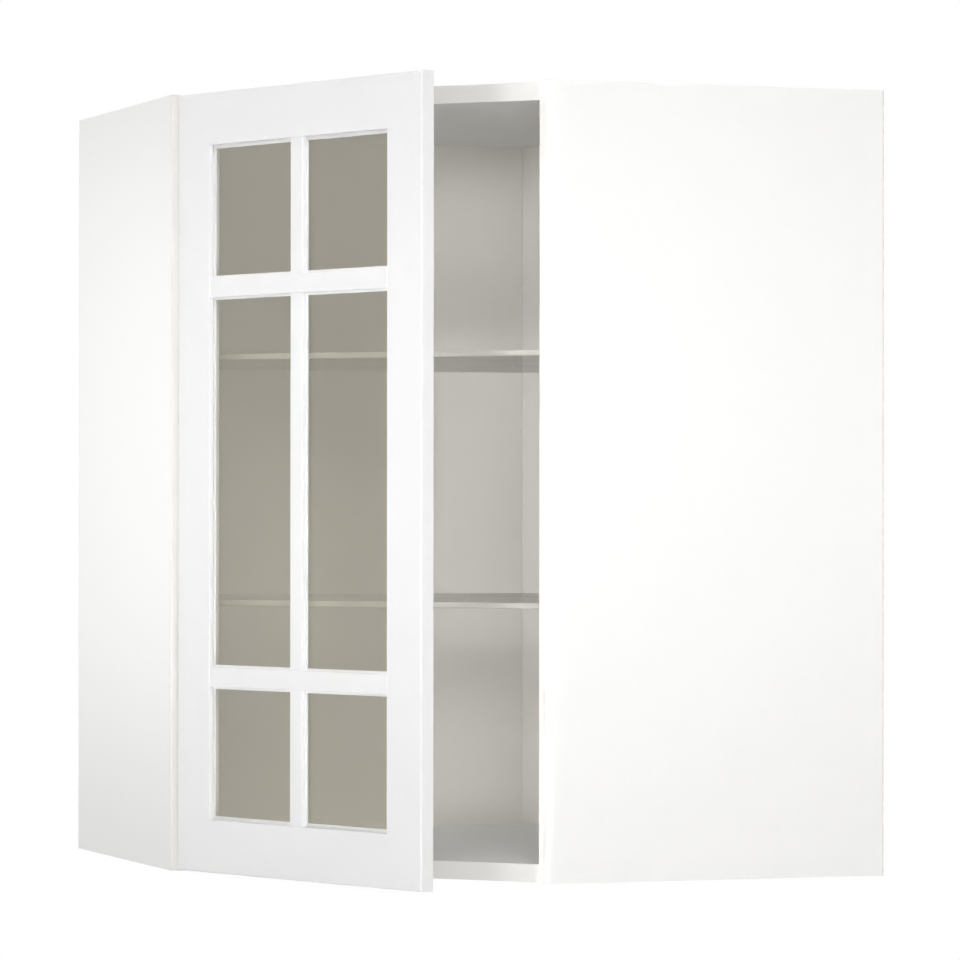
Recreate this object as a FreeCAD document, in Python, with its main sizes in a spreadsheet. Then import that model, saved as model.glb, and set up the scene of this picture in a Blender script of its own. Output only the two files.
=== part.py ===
import FreeCAD, Part
import os
import Sketcher

# A wall cabinet for a room corner, closed by one framed glass door that stands part open.
# The room's vertical corner line is the Z axis, the walls are the planes x = 0 and y = 0,
# and the cabinet's underside is at z = 0.

os.makedirs("parts", exist_ok=True)
doc = FreeCAD.newDocument("corner_cabinet")
sheet = doc.addObject("Spreadsheet::Sheet", "sizes")

carcass_sizes = {
    "leg": 667,
    "front_run": 300,
    "height": 800,
    "board": 18,
    "band": 1,
    "band_round": 0.7,
    "front_set_back": 20,
    "back_inset": 14,
    "back_thick": 3,
    "groove_depth": 8,
    "groove_clear": 0.2,
    "corner_reach": 155,
    "corner_thick": 10,
    "corner_lip": 3,
    "overrun": 1,
}
shelf_sizes = {
    "shelf_thick": 6,
    "shelf_set_back": 42,
    "shelf_gap": 2,
    "shelf_lower": 272.5,
    "shelf_upper": 527,
    "pin_radius": 2.5,
    "pin_play": 0.1,
    "pin_embed": 8,
    "pin_reach": 9,
    "pin_spoon": 4.5,
    "pin_drop": 2,
    "pin_front_in": 40,
    "pin_back_in": 50,
    "pin_pitch": 32,
}
joint_sizes = {
    "dowel_radius": 4,
    "dowel_side": 10,
    "dowel_top": 20,
    "dowel_play": 0.1,
    "cam_radius": 7.5,
    "cam_play": 0.15,
    "cam_depth": 13,
    "cam_in": 24,
    "bolt_radius": 2.5,
    "bolt_embed": 10,
    "bolt_head": 3.5,
    "bolt_head_length": 3,
    "bolt_play": 0.2,
    "screw_radius": 1.9,
    "screw_head": 3.6,
    "screw_head_rise": 2.2,
    "screw_length": 13,
    "screw_play": 0.1,
}
bracket_sizes = {
    "bracket_width": 40,
    "bracket_height": 66,
    "bracket_thick": 2,
    "bracket_drop": 2,
    "bracket_bend": 3,
    "bracket_screw_in": 26,
    "bracket_screw_pitch": 28,
    "hang_in": 24,
    "hang_radius": 4.25,
    "hang_clear": 6,
}
hinge_sizes = {
    "rest_angle": 24.75,
    "hinge_inset": 200,
    "hinge_pin": 1.3,
    "hinge_play": 0.3,
    "arm_pin_in": 32.37,
    "arm_pin_deep": 6.4,
    "cup_pin_in": 7.67,
    "cup_pin_deep": 2.3,
    "arm_back_gap": 4,
    "arm_thick": 5,
    "arm_neck": 4.4,
    "arm_boss": 2.6,
    "arm_bar": 7,
    "arm_bar_start": 18,
    "arm_bar_end": 62,
    "arm_tip_rise": 7,
    "arm_bar_rise": 14,
    "arm_screw_in": 46,
    "plate_front": 22,
    "plate_length": 48,
    "plate_thick": 6,
    "plate_rise": 16,
    "wing_thick": 3,
    "wing_length": 16,
    "wing_rise": 50,
    "plate_screw_in": 37,
    "plate_screw_pitch": 32,
    "link_thick": 1.5,
    "link_width": 3.4,
    "link_eye": 2.4,
    "link_bulge": 5.5,
    "link_bulge_start": 1.2,
    "link_bulge_end": 7.5,
    "cup_edge": 3,
    "cup_radius": 17.5,
    "cup_play": 0.1,
    "cup_depth": 11.9,
    "cup_wall": 0.9,
    "cup_lip": 1.5,
    "cup_lip_thick": 0.9,
    "ear_start": 3,
    "ear_width": 13,
    "ear_rise": 58,
    "ear_screw_in": 9.5,
    "ear_screw_pitch": 45,
    "ear_screw_length": 9,
    "lug_half": 2.6,
    "lug_gap": 0.4,
}
door_sizes = {
    "door_gap": 0.9,
    "door_end_gap": 1.5,
    "door_thick": 15,
    "door_round": 1.5,
    "bumper_gap": 2,
    "bumper_radius": 4,
    "bumper_thick": 1.7,
    "bumper_in": 15,
    "stile": 54,
    "inner_chamfer": 0.6,
    "rebate": 8,
    "lip_depth": 4.6,
    "bead_thick": 1.4,
    "bead_reach": 3.8,
    "bead_groove": 1.3,
    "bead_groove_depth": 0.7,
    "bead_play": 0.1,
    "bar_width": 20,
    "bar_end": 200,
    "bar_lip": 2.3,
    "bar_chamfer": 0.7,
    "glass_thick": 4,
    "glass_play": 1,
    "retainer_thick": 4.2,
    "frame_dowel_radius": 3,
    "frame_dowel_half": 20,
    "frame_dowel_pitch": 24,
    "frame_dowel_play": 0.1,
}
tables = (carcass_sizes, shelf_sizes, joint_sizes, bracket_sizes, hinge_sizes, door_sizes)
row = 0
for table in tables:
    for alias, amount in table.items():
        row = row + 1
        sheet.set(f"A{row}", str(amount))
        sheet.setAlias(f"A{row}", alias)
doc.recompute()

# Shares of the side joint's length, from the wall, where dowels and cams sit.
dowel_shares = (0.12, 0.9)
cam_shares = (0.27, 0.73)

# Sides of small rods: hidden ones, ones in view, and the hinge cups.
hidden_sides = 8
shown_sides = 16
cup_sides = 48

up = FreeCAD.Vector(0, 0, 1)
hands = ("left", "right")


# A side panel reaches from the wall to where the diagonal front starts.
side_depth = "(sizes.leg - sizes.front_run)"


def number(formula):
    return float(sheet.evalExpression(formula))


def pick(hand, across, along):
    # The left side panel faces along x; the right one is its mirror, with x and y exchanged.
    if hand == "left":
        return (across, along)
    return (along, across)


def at_front(x, y):
    # From the diagonal front's own axes (along it, and inward from it) to the room's.
    room_x = f"-sizes.leg + (({x}) + ({y})) / sqrt(2)"
    room_y = f"-{side_depth} + (({y}) - ({x})) / sqrt(2)"
    return (room_x, room_y)


def lean(across, along):
    # From the left side panel's axes (inward from its outer face, back from its front edge) to the front's.
    return (f"(({across}) - ({along})) / sqrt(2)", f"(({across}) + ({along})) / sqrt(2)")


def set_place(item, corner, rotation):
    item.Placement = FreeCAD.Placement(FreeCAD.Vector(), rotation)
    for axis, formula in zip("xyz", corner):
        item.setExpression(f"Placement.Base.{axis}", formula)


def box(name, corner, extent, turn=0):
    item = doc.addObject("Part::Box", name)
    for side, formula in zip(("Length", "Width", "Height"), extent):
        item.setExpression(side, formula)
    set_place(item, corner, FreeCAD.Rotation(up, turn))
    return item


def front_box(name, corner, extent):
    return box(name, (*at_front(corner[0], corner[1]), corner[2]), extent, -45)


axis_turns = {
    "z": FreeCAD.Rotation(),
    "x": FreeCAD.Rotation(FreeCAD.Vector(0, 1, 0), 90),
    "y": FreeCAD.Rotation(FreeCAD.Vector(1, 0, 0), -90),
}
axis_turns["deep"] = FreeCAD.Rotation(up, -45) * axis_turns["y"]
axis_turns["lean"] = FreeCAD.Rotation(up, 45) * axis_turns["x"]


def rod(name, radius, length, base, axis, sides=0):
    # Small pieces and their holes are many-sided rods of the same number of sides.
    if sides:
        item = doc.addObject("Part::Prism", name)
        item.Polygon = sides
        item.setExpression("Circumradius", radius)
    else:
        item = doc.addObject("Part::Cylinder", name)
        item.setExpression("Radius", radius)
    item.setExpression("Height", length)
    set_place(item, base, axis_turns[axis])
    return item


def joined(name, items):
    item = doc.addObject("Part::MultiFuse", name)
    item.Shapes = items
    item.Refine = True
    return item


def cut(name, base, tools):
    item = doc.addObject("Part::Cut", name)
    item.Base = base
    item.Tool = tools[0] if len(tools) == 1 else joined(f"{name}_cuts", tools)
    return item


def common(name, base, tool):
    item = doc.addObject("Part::Common", name)
    item.Base = base
    item.Tool = tool
    return item


def group(name, items):
    item = doc.addObject("Part::Compound", name)
    item.Links = items
    return item


def new_body(name):
    return doc.addObject("PartDesign::Body", name)


def outline(body, name, points, level):
    plane = [part for part in body.Origin.OriginFeatures if part.Role == "XY_Plane"][0]
    sketch = body.newObject("Sketcher::SketchObject", name)
    sketch.AttachmentSupport = [(plane, "")]
    sketch.MapMode = "FlatFace"
    sketch.setExpression("AttachmentOffset.Base.z", level)
    spots = [FreeCAD.Vector(number(x), number(y), 0) for x, y in points]
    count = len(spots)
    for index, spot in enumerate(spots):
        sketch.addGeometry(Part.LineSegment(spot, spots[(index + 1) % count]), False)
    for index in range(count):
        sketch.addConstraint(Sketcher.Constraint("Coincident", index, 2, (index + 1) % count, 1))
    for index, (x, y) in enumerate(points):
        for kind, formula, amount in (("DistanceX", x, spots[index].x), ("DistanceY", y, spots[index].y)):
            place = sketch.addConstraint(Sketcher.Constraint(kind, -1, 1, index, 1, amount))
            sketch.setExpression(f"Constraints[{place}]", formula)
    return sketch


def pad(body, name, points, level, length):
    item = body.newObject("PartDesign::Pad", name)
    item.Profile = outline(body, f"{name}_outline", points, level)
    item.setExpression("Length", length)
    doc.recompute()
    return item


def corners(x0, x1, y0, y1):
    return ((x0, y0), (x1, y0), (x1, y1), (x0, y1))


def edges_where(feature, test):
    return [f"Edge{place}" for place, edge in enumerate(feature.Shape.Edges, start=1) if test(edge)]


def on_face_y(level):
    # Edges that lie wholly in the plane of one depth.
    y = number(level)
    near = number("sizes.overrun") / 1000

    def test(edge):
        return all(abs(vertex.Point.y - y) < near for vertex in edge.Vertexes)
    return test


def soften(body, kind, name, feature, edges, size_name, formula):
    item = body.newObject(kind, name)
    item.Base = (feature, edges)
    item.setExpression(size_name, formula)
    doc.recompute()
    return item


def screw(name, length, place):
    # Driven along its own +x, with the underside of its head at the origin.
    shank = rod(f"{name}_shank", "sizes.screw_radius", length, ("0", "0", "0"), "x", hidden_sides)
    head = rod(f"{name}_head", "sizes.screw_head", "sizes.screw_head_rise", ("-sizes.screw_head_rise", "0", "0"), "x",
               shown_sides)
    item = joined(name, [shank, head])
    item.Placement = place
    return item


def spot(x, y, z, turn):
    where = FreeCAD.Vector(number(x), number(y), number(z))
    return FreeCAD.Placement(where, FreeCAD.Rotation(up, turn))


pieces = {}


def keep(name, item):
    item.Label = name
    pieces[name] = item
    return item


# Levels and lines that several pieces share.
inner = "(sizes.board - sizes.leg)"
back_face = "(-sizes.back_inset - sizes.back_thick)"
joint = f"({side_depth} + sizes.board - sizes.front_set_back * sqrt(2))"
panel_levels = {"bottom": "0", "top": "(sizes.height - sizes.board)"}
bay_height = "(sizes.height - 2 * sizes.board)"
corner_sum = "(sizes.corner_reach + sizes.back_inset + sizes.back_thick + sizes.corner_lip)"
corner_y = f"((sizes.leg + {side_depth} - {corner_sum}) / sqrt(2))"
middle_x = f"((sizes.leg - {side_depth}) / sqrt(2))"
hang_z = "(sizes.height - sizes.board - sizes.bracket_drop - sizes.bracket_height / 2)"
hang_screw_levels = [f"({hang_z} {sign} sizes.bracket_screw_pitch / 2)" for sign in "+-"]
shelf_levels = {"lower": "sizes.shelf_lower", "upper": "sizes.shelf_upper"}
pin_rows = (
    f"(sizes.shelf_set_back * sqrt(2) - {side_depth} - sizes.board + sizes.pin_front_in)",
    f"({back_face} - sizes.pin_back_in)",
)
hinge_levels = {
    "lower": "(sizes.door_end_gap + sizes.hinge_inset)",
    "upper": "(sizes.height - sizes.door_end_gap - sizes.hinge_inset)",
}
plate_row = f"(sizes.plate_screw_in - {side_depth})"
plate_screw_levels = [
    f"({level} {sign} sizes.plate_screw_pitch / 2)" for level in hinge_levels.values() for sign in "+-"
]
edge_x = "(sizes.board / sqrt(2) + sizes.door_gap)"
door_width = f"((sizes.leg - {side_depth} - sizes.board) * sqrt(2) - 2 * sizes.door_gap)"
free_x = f"({edge_x} + {door_width})"
back_y = "(sizes.front_set_back - sizes.bumper_gap)"
front_y = f"({back_y} - sizes.door_thick)"
door_height = "(sizes.height - 2 * sizes.door_end_gap)"
door_top = "(sizes.height - sizes.door_end_gap)"
arm_x = f"({edge_x} + sizes.arm_pin_in)"
arm_y = f"({back_y} - sizes.arm_pin_deep)"
cup_x = f"({edge_x} + sizes.cup_edge + sizes.cup_radius)"
cup_pin_x = f"({edge_x} + sizes.cup_pin_in)"
cup_pin_y = f"({back_y} - sizes.cup_pin_deep)"
cup_screw_x = f"({cup_x} + sizes.ear_screw_in)"
cup_screw_levels = [
    f"({level} {sign} sizes.ear_screw_pitch / 2)" for level in hinge_levels.values() for sign in "+-"
]
hinge_hole = "(sizes.hinge_pin + sizes.hinge_play)"
screw_hole = "(sizes.screw_radius + sizes.screw_play)"

# The hinge folds the door about two pins. The links turn about the arm pins by as much as the door opens,
# the other way, and the door turns about the cup pins by twice that.
rest = number("sizes.rest_angle")
arm_pin = FreeCAD.Vector(number(arm_x), number(arm_y), 0)
cup_pin = FreeCAD.Vector(number(cup_pin_x), number(cup_pin_y), 0)
front_frame = FreeCAD.Placement(
    FreeCAD.Vector(-number("sizes.leg"), -number(f"{side_depth}"), 0), FreeCAD.Rotation(up, -45)
)
link_frame = front_frame * FreeCAD.Placement(FreeCAD.Vector(), FreeCAD.Rotation(up, rest), arm_pin)
door_frame = link_frame * FreeCAD.Placement(FreeCAD.Vector(), FreeCAD.Rotation(up, -2 * rest), cup_pin)

# Side panels: full-height boards with a groove for the back, rows of shelf holes and joint holes.
for hand in hands:
    axis = pick(hand, "x", "y")[0]
    board = box(
        f"{hand}_board",
        (*pick(hand, "-sizes.leg", f"sizes.band - {side_depth}"), "0"),
        (*pick(hand, "sizes.board", f"{side_depth} - sizes.band"), "sizes.height"),
    )
    tools = [box(
        f"{hand}_side_groove",
        (*pick(hand, f"{inner} - sizes.groove_depth", f"{back_face} - sizes.groove_clear"), "-sizes.overrun"),
        (*pick(hand, "sizes.groove_depth + sizes.overrun", "sizes.back_thick + 2 * sizes.groove_clear"),
         "sizes.height + 2 * sizes.overrun"),
    )]

    def drill(radius, depth, along, level, sides=hidden_sides):
        tools.append(rod(
            f"{hand}_hole_{len(tools)}", radius, f"{depth} + sizes.overrun",
            (*pick(hand, f"{inner} - ({depth})", along), level), axis, sides,
        ))

    for shelf in shelf_levels.values():
        for along in pin_rows:
            for step in (-1, 0, 1):
                level = f"{shelf} - sizes.pin_drop + {step} * sizes.pin_pitch"
                drill("sizes.pin_radius + sizes.pin_play", "sizes.pin_embed + sizes.pin_play", along, level,
                      shown_sides)
    for low in panel_levels.values():
        level = f"{low} + sizes.board / 2"
        for share in dowel_shares:
            along = f"-{share} * {joint}"
            drill("sizes.dowel_radius + sizes.dowel_play", "sizes.dowel_side + sizes.dowel_play", along, level)
        for share in cam_shares:
            along = f"-{share} * {joint}"
            drill("sizes.bolt_radius + sizes.bolt_play", "sizes.bolt_embed + sizes.bolt_play", along, level)
    for level in hang_screw_levels:
        depth = "sizes.screw_length - sizes.bracket_thick + sizes.screw_play"
        drill(screw_hole, depth, f"{back_face} - sizes.bracket_screw_in", level)
    if hand == "left":
        for level in plate_screw_levels:
            depth = "sizes.screw_length - sizes.wing_thick + sizes.screw_play"
            drill(screw_hole, depth, plate_row, level)
    keep(f"side_panel_{hand}", cut(f"side_panel_{hand}", board, tools))

    # The front edge is covered by a band with softened arrises.
    band = new_body(f"edge_band_{hand}")
    low_x, low_y = pick(hand, "-sizes.leg", f"-{side_depth}")
    far_x, far_y = pick(hand, inner, f"sizes.band - {side_depth}")
    strip = pad(band, f"edge_band_{hand}_strip", corners(low_x, far_x, low_y, far_y), "0", "sizes.height")
    front_line = -number(f"{side_depth}")
    near = number("sizes.overrun") / 1000

    def on_arris(edge, hand=hand):
        ends = [pick(hand, vertex.Point.y, vertex.Point.x)[0] for vertex in edge.Vertexes]
        upright = abs(edge.Vertexes[0].Point.z - edge.Vertexes[-1].Point.z) > near
        return upright and all(abs(end - front_line) < near for end in ends)

    soften(band, "PartDesign::Fillet", f"edge_band_{hand}_round", strip, edges_where(strip, on_arris),
           "Radius", "sizes.band_round")
    keep(f"edge_band_{hand}", band)

# Top and bottom panels: cut off across the front and across the room corner.
long_side = "3 * sizes.leg"
for name, low in panel_levels.items():
    over = (f"{low} - sizes.overrun", "sizes.board + 2 * sizes.overrun")
    square = box(
        f"{name}_square", (inner, inner, low),
        ("sizes.leg - sizes.board", "sizes.leg - sizes.board", "sizes.board"),
    )
    tools = [
        front_box(
            f"{name}_front_cut", ("-sizes.leg", "-sizes.leg", over[0]),
            (long_side, "sizes.leg + sizes.front_set_back + sizes.band", over[1]),
        ),
        front_box(
            f"{name}_rear_cut", ("-sizes.leg", f"{corner_y} + sizes.corner_thick", over[0]),
            (long_side, "sizes.leg", over[1]),
        ),
    ]
    groove_low = f"{low} + sizes.board - sizes.groove_depth" if name == "bottom" else f"{low} - sizes.overrun"
    cam_low = f"{low} - sizes.overrun" if name == "bottom" else f"{low} + sizes.board - sizes.cam_depth"
    for hand in hands:
        axis = pick(hand, "x", "y")[0]
        tools.append(box(
            f"{name}_{hand}_groove",
            (*pick(hand, f"{inner} - sizes.overrun", f"{back_face} - sizes.groove_clear"), groove_low),
            (*pick(hand, "sizes.leg - sizes.board - sizes.corner_reach + sizes.groove_depth + sizes.overrun",
                   "sizes.back_thick + 2 * sizes.groove_clear"), "sizes.groove_depth + sizes.overrun"),
        ))
        level = f"{low} + sizes.board / 2"
        for place, share in enumerate(dowel_shares):
            tools.append(rod(
                f"{name}_{hand}_dowel_hole_{place}", "sizes.dowel_radius + sizes.dowel_play",
                "sizes.dowel_top + sizes.dowel_play + sizes.overrun",
                (*pick(hand, f"{inner} - sizes.overrun", f"-{share} * {joint}"), level), axis, hidden_sides,
            ))
        for place, share in enumerate(cam_shares):
            tools.append(rod(
                f"{name}_{hand}_bolt_hole_{place}", "sizes.bolt_head + sizes.bolt_play",
                "sizes.cam_in + sizes.overrun",
                (*pick(hand, f"{inner} - sizes.overrun", f"-{share} * {joint}"), level), axis, hidden_sides,
            ))
            tools.append(rod(
                f"{name}_{hand}_cam_bore_{place}", "sizes.cam_radius", "sizes.cam_depth + sizes.overrun",
                (*pick(hand, f"{inner} + sizes.cam_in", f"-{share} * {joint}"), cam_low), "z", shown_sides,
            ))
    keep(f"{name}_panel", cut(f"{name}_panel", square, tools))

    band_slab = front_box(
        f"{name}_band_slab", ("-sizes.leg", "sizes.front_set_back", low), (long_side, "sizes.band", "sizes.board"),
    )
    band_square = box(
        f"{name}_band_square", (inner, inner, low),
        ("sizes.leg - sizes.board", "sizes.leg - sizes.board", "sizes.board"),
    )
    keep(f"edge_band_{name}", common(f"edge_band_{name}", band_slab, band_square))

# Back panels in the grooves: a full sheet up to the hanging bolt and, beside the bolt, a strip on to the top.
seat = "(sizes.groove_depth - sizes.groove_clear)"
bolt_room = "(sizes.hang_radius + sizes.hang_clear)"
sheet_low = f"(sizes.board - {seat})"
sheet_high = f"(sizes.height - {sheet_low})"
sheet_step = f"({hang_z} - {bolt_room})"
sheet_start = f"({inner} - {seat})"
sheet_end = f"({seat} - sizes.corner_reach)"
for hand in hands:
    spans = {
        "sheet": (sheet_start, sheet_low, sheet_step),
        "strip": (f"({inner} + sizes.hang_in + {bolt_room})", sheet_step, sheet_high),
    }
    boards = []
    for title, (start, low, high) in spans.items():
        boards.append(box(
            f"{hand}_back_{title}",
            (*pick(hand, start, back_face), low),
            (*pick(hand, f"{sheet_end} - {start}", "sizes.back_thick"), f"{high} - {low}"),
        ))
    keep(f"back_panel_{hand}", group(f"back_panel_{hand}", boards))

# The corner panel stands across the room corner and holds the back panels' inner ends.
corner_slab = front_box(
    "corner_slab", ("-sizes.leg", corner_y, "sizes.board"), (long_side, "sizes.corner_thick", bay_height),
)
corner_square = box(
    "corner_square", ("-sizes.corner_reach", "-sizes.corner_reach", "sizes.board"),
    ("sizes.corner_reach", "sizes.corner_reach", bay_height),
)
corner_board = common("corner_board", corner_slab, corner_square)
tools = []
for hand in hands:
    tools.append(box(
        f"{hand}_corner_groove",
        (*pick(hand, "-sizes.corner_reach - sizes.overrun", f"{back_face} - sizes.groove_clear"), "0"),
        (*pick(hand, "sizes.groove_depth + sizes.overrun", "sizes.back_thick + 2 * sizes.groove_clear"),
         "sizes.height"),
    ))
for name, shelf in shelf_levels.items():
    start = at_front(middle_x, f"{corner_y} - sizes.overrun")
    tools.append(rod(
        f"{name}_corner_hole", "sizes.pin_radius + sizes.pin_play",
        "sizes.pin_embed + sizes.pin_play + sizes.overrun", (*start, f"{shelf} - sizes.pin_drop"), "deep",
        shown_sides,
    ))
keep("back_corner_panel", cut("back_corner_panel", corner_board, tools))

# Glass shelves, each on five pins with a flat-topped spoon.
shelf_side = f"(sizes.leg - sizes.board + {back_face} - 2 * sizes.shelf_gap)"
for name, low in shelf_levels.items():
    start = f"{inner} + sizes.shelf_gap"
    over = (f"{low} - sizes.overrun", "sizes.shelf_thick + 2 * sizes.overrun")
    plate = box(f"shelf_{name}_square", (start, start, low), (shelf_side, shelf_side, "sizes.shelf_thick"))
    front_cut = front_box(
        f"shelf_{name}_front_cut", ("-sizes.leg", "-sizes.leg", over[0]),
        (long_side, "sizes.leg + sizes.shelf_set_back", over[1]),
    )
    rear_cut = front_box(
        f"shelf_{name}_rear_cut", ("-sizes.leg", f"{corner_y} - sizes.shelf_gap", over[0]),
        (long_side, "sizes.leg", over[1]),
    )
    keep(f"shelf_{name}", cut(f"shelf_{name}", plate, [front_cut, rear_cut]))

    level = f"{low} - sizes.pin_drop"
    spots = [spot(*at_front(middle_x, corner_y), level, 225)]
    for along in pin_rows:
        spots.append(spot(inner, along, level, 0))
        spots.append(spot(along, inner, level, 90))
    pins = []
    for place, where in enumerate(spots):
        title = f"{name}_pin_{place}"
        stem = rod(f"{title}_stem", "sizes.pin_radius", "sizes.pin_embed + sizes.overrun",
                   ("-sizes.pin_embed", "0", "0"), "x", shown_sides)
        spoon = rod(f"{title}_spoon", "sizes.pin_spoon", "sizes.pin_reach", ("0", "0", "0"), "x", shown_sides)
        flat = box(f"{title}_flat", ("-sizes.overrun", "-2 * sizes.pin_spoon", "sizes.pin_drop"),
                   ("sizes.pin_reach + 2 * sizes.overrun", "4 * sizes.pin_spoon", "2 * sizes.pin_spoon"))
        pin = joined(title, [stem, cut(f"{title}_seat", spoon, [flat])])
        pin.Placement = where
        pins.append(pin)
    keep(f"shelf_pins_{name}", group(f"shelf_pins_{name}", pins))

# Dowels, cam bolts and cam locks in the joints of the top and bottom panels.
dowels = []
bolts = []
cams = []
for name, low in panel_levels.items():
    level = f"{low} + sizes.board / 2"
    for hand in hands:
        axis = pick(hand, "x", "y")[0]
        for place, share in enumerate(dowel_shares):
            dowels.append(rod(
                f"{name}_{hand}_dowel_{place}", "sizes.dowel_radius", "sizes.dowel_side + sizes.dowel_top",
                (*pick(hand, f"{inner} - sizes.dowel_side", f"-{share} * {joint}"), level), axis, hidden_sides,
            ))
        for place, share in enumerate(cam_shares):
            title = f"{name}_{hand}_{place}"
            along = f"-{share} * {joint}"
            shank = rod(
                f"{title}_shank", "sizes.bolt_radius", "sizes.bolt_embed + sizes.cam_in",
                (*pick(hand, f"{inner} - sizes.bolt_embed", along), level), axis, hidden_sides,
            )
            head = rod(
                f"{title}_head", "sizes.bolt_head", "sizes.bolt_head_length",
                (*pick(hand, f"{inner} + sizes.cam_in - sizes.bolt_head_length", along), level), axis, hidden_sides,
            )
            bolts.append(joined(f"{title}_bolt", [shank, head]))
            slot_half = "(sizes.bolt_head + sizes.bolt_play)"
            cam_low = low if name == "bottom" else f"{low} + sizes.board - sizes.cam_depth + sizes.cam_play"
            slot_low = f"{level} - {slot_half}" if name == "bottom" else f"{cam_low} - sizes.overrun"
            slot_high = f"{low} + sizes.cam_depth + sizes.overrun" if name == "bottom" else f"{level} + {slot_half}"
            disc = rod(
                f"{title}_disc", "sizes.cam_radius - sizes.cam_play", "sizes.cam_depth - sizes.cam_play",
                (*pick(hand, f"{inner} + sizes.cam_in", along), cam_low), "z", shown_sides,
            )
            slot = box(
                f"{title}_slot",
                (*pick(hand, f"{inner} + sizes.cam_in - 2 * sizes.cam_radius", f"{along} - {slot_half}"), slot_low),
                (*pick(hand, "2 * sizes.cam_radius + sizes.bolt_play", f"2 * {slot_half}"),
                 f"{slot_high} - ({slot_low})"),
            )
            cams.append(cut(f"{title}_cam", disc, [slot]))
keep("carcass_dowels", group("carcass_dowels", dowels))
keep("cam_bolts", group("cam_bolts", bolts))
keep("cam_locks", group("cam_locks", cams))

# Hanging brackets: bent steel angles in the top rear corners, each with a bore for the wall rail's bolt.
bracket_screws = []
for hand in hands:
    across = (inner, f"{inner} + sizes.bracket_thick", f"{inner} + sizes.bracket_width")
    along = (back_face, f"{back_face} - sizes.bracket_thick", f"{back_face} - sizes.bracket_width")
    profile = [pick(hand, across[m], along[n]) for m, n in ((0, 0), (2, 0), (2, 1), (1, 1), (1, 2), (0, 2))]
    angle = new_body(f"bracket_{hand}_angle")
    bent = pad(angle, f"bracket_{hand}_pad", profile, f"{hang_z} - sizes.bracket_height / 2", "sizes.bracket_height")
    bend_x, bend_y = (number(formula) for formula in pick(hand, across[1], along[1]))
    near = number("sizes.overrun") / 1000

    def on_bend(edge, bend_x=bend_x, bend_y=bend_y):
        return all(abs(end.Point.x - bend_x) + abs(end.Point.y - bend_y) < near for end in edge.Vertexes)

    soften(angle, "PartDesign::Fillet", f"bracket_{hand}_bend", bent, edges_where(bent, on_bend),
           "Radius", "sizes.bracket_bend")
    tools = [rod(
        f"bracket_{hand}_bore", "sizes.hang_radius", "sizes.bracket_thick + 2 * sizes.overrun",
        (*pick(hand, f"{inner} + sizes.hang_in", f"{along[1]} - sizes.overrun"), hang_z), pick(hand, "y", "x")[0],
    )]
    for place, level in enumerate(hang_screw_levels):
        row_line = f"{back_face} - sizes.bracket_screw_in"
        tools.append(rod(
            f"bracket_{hand}_hole_{place}", screw_hole, "sizes.bracket_thick + 2 * sizes.overrun",
            (*pick(hand, f"{inner} - sizes.overrun", row_line), level), pick(hand, "x", "y")[0], hidden_sides,
        ))
        where = spot(*pick(hand, across[1], row_line), level, 180 if hand == "left" else -90)
        bracket_screws.append(screw(f"bracket_{hand}_screw_{place}", "sizes.screw_length", where))
    keep(f"hanging_bracket_{hand}", cut(f"hanging_bracket_{hand}", angle, tools))
keep("bracket_screws", group("bracket_screws", bracket_screws))

# Hinge mounting plates on the left panel: a spine for the arm and a wing for two screws.
spine_face = f"({inner} + sizes.plate_thick)"
arm_screw_row = f"(sizes.arm_screw_in - {side_depth})"
for name, level in hinge_levels.items():
    spine = box(
        f"plate_{name}_spine", (inner, f"sizes.plate_front - {side_depth}", f"{level} - sizes.plate_rise / 2"),
        ("sizes.plate_thick", "sizes.plate_length", "sizes.plate_rise"),
    )
    wing = box(
        f"plate_{name}_wing", (inner, f"{plate_row} - sizes.wing_length / 2", f"{level} - sizes.wing_rise / 2"),
        ("sizes.wing_thick", "sizes.wing_length", "sizes.wing_rise"),
    )
    tools = [rod(
        f"plate_{name}_tapped", screw_hole, "sizes.plate_thick + sizes.overrun",
        (inner, arm_screw_row, level), "x", hidden_sides,
    )]
    for sign in "+-":
        tools.append(rod(
            f"plate_{name}_hole_{len(tools)}", screw_hole, "sizes.wing_thick + 2 * sizes.overrun",
            (f"{inner} - sizes.overrun", plate_row, f"{level} {sign} sizes.plate_screw_pitch / 2"), "x",
            hidden_sides,
        ))
    keep(f"hinge_plate_{name}", cut(f"hinge_plate_{name}", joined(f"plate_{name}", [spine, wing]), tools))
keep("hinge_plate_screws", group("hinge_plate_screws", [
    screw(f"plate_screw_{place}", "sizes.screw_length", spot(f"{inner} + sizes.wing_thick", plate_row, level, 180))
    for place, level in enumerate(plate_screw_levels)
]))

# Hinge arms: a bar on the plate, cranked to run behind the door and reach into the cup with a pierced tip.
near_y = f"({back_y} + sizes.arm_back_gap)"
far_y = f"({near_y} + sizes.arm_thick)"
bar_face = "(sizes.board + sizes.plate_thick)"
bar_top = f"({bar_face} + sizes.arm_bar)"
neck_left = f"({arm_x} - sizes.arm_neck / 2)"
neck_right = f"({arm_x} + sizes.arm_neck / 2)"
crank = (
    lean(bar_face, "sizes.arm_bar_end"),
    (f"{bar_face} * sqrt(2) - {near_y}", near_y),
    (neck_left, near_y),
    (neck_left, arm_y),
    (neck_right, arm_y),
    (neck_right, far_y),
    (f"{bar_top} * sqrt(2) - {far_y}", far_y),
    lean(bar_top, "sizes.arm_bar_end"),
)
bar = (
    lean(bar_face, "sizes.arm_bar_end"),
    lean(bar_face, "sizes.arm_bar_start"),
    lean(bar_top, "sizes.arm_bar_start"),
    lean(bar_top, "sizes.arm_bar_end"),
)
tip_half = "(sizes.arm_tip_rise / 2)"
link_reach = f"({tip_half} + sizes.lug_gap + sizes.link_thick)"
arm_screws = []
arm_pins = []
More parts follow.
